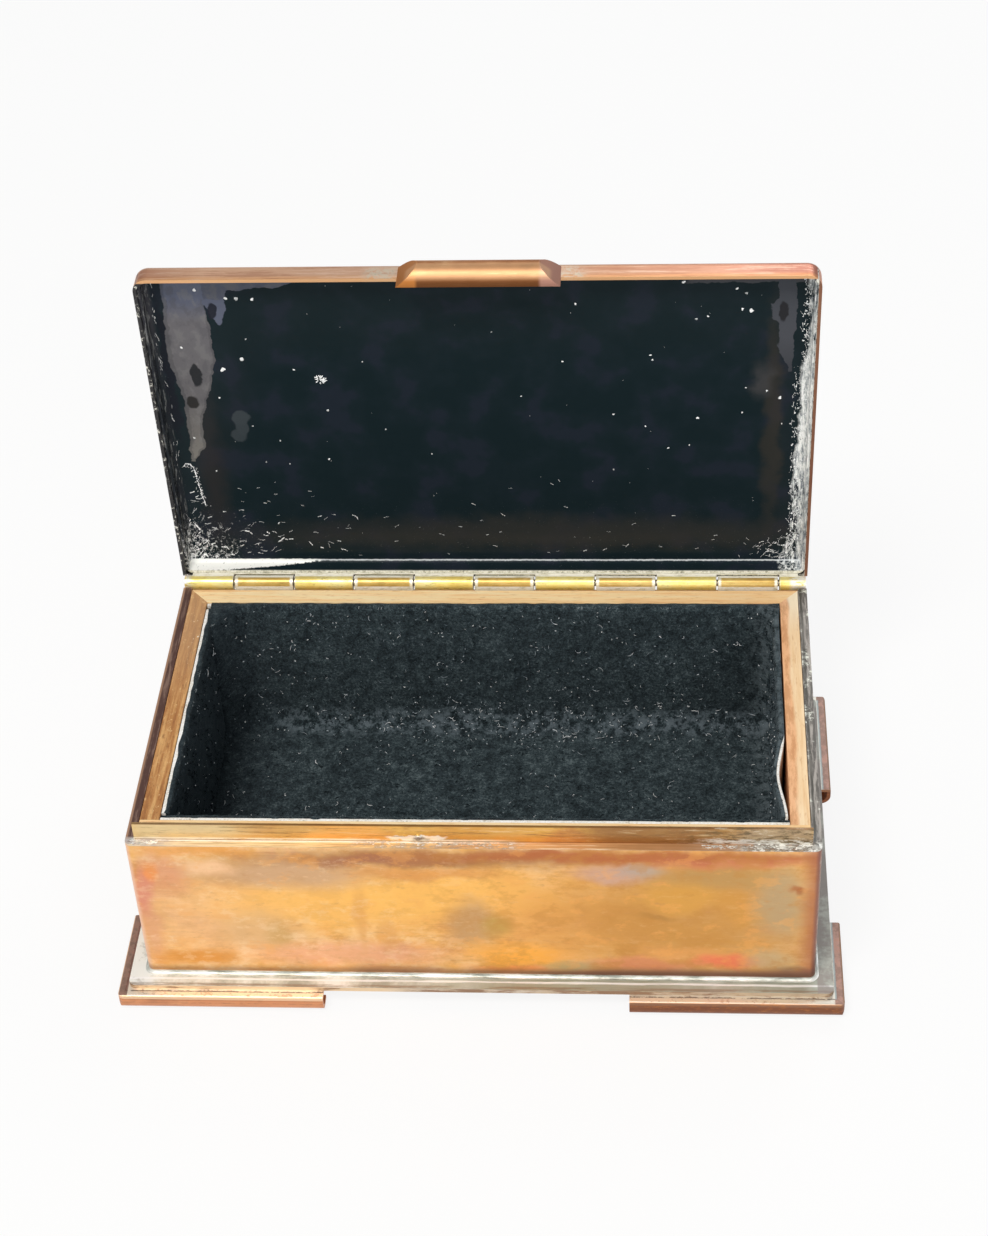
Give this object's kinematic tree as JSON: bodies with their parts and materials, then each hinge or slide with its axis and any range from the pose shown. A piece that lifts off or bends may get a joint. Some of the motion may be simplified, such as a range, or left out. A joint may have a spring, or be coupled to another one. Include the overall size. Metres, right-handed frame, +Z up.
{
  "type": "keepsake box",
  "caption": "Copper keepsake box on moulded corner feet, lined with cedar and black velvet, with a shallow lid on a full-width hinge, shown open.",
  "frame": {"origin": "centre of the box's footprint, on the surface its feet stand on", "axes": "+X to the right along the width, +Y to the back where the hinge is, +Z up"},
  "size_m": [0.1642, 0.1028, 0.1409],
  "materials": {
    "copper": "heat-coloured copper, satin with worn streaks",
    "base_copper": "dull brown copper",
    "foot_copper": "bright copper moulding with brown recesses",
    "strip_brass": "golden, solder-smeared",
    "hinge_brass": "bright yellow brass, tarnished in the gaps",
    "pin_steel": "plain wire",
    "solder": "lumpy grey solder",
    "cedar": "bare cedar with open grain",
    "card": "white card",
    "velvet": "black velvet with lint",
    "black_lacquer": "glossy black lacquer with pale residue"
  },
  "bodies": {
    "tray": {"body_shell": "copper", "front_strip": "strip_brass", "base_plate": "base_copper", "base_solder": "solder", "foot_front_left": "foot_copper", "foot_front_right": "foot_copper", "foot_back_left": "foot_copper", "foot_back_right": "foot_copper", "wood_floor": "cedar", "wood_front": "cedar", "wood_back": "cedar", "wood_left": "cedar", "wood_right": "cedar", "card_floor": "card", "card_front": "card", "card_back": "card", "card_left": "card", "card_right": "card", "velvet_floor": "velvet", "velvet_front": "velvet", "velvet_back": "velvet", "velvet_left": "velvet", "velvet_right": "velvet", "hinge_leaf_body": "hinge_brass", "hinge_pin": "pin_steel"},
    "lid": {"lid_shell": "copper", "lid_lacquer": "black_lacquer", "thumb_piece": "copper", "hinge_leaf_lid": "hinge_brass"}
  },
  "joints": [
    {"name": "lid_hinge", "type": "hinge", "parent": "tray", "child": "lid", "pos_m": [0, 0.04515, 0.047], "axis": [1, 0, 0], "range_deg": [-83, 86.8]}
  ]
}
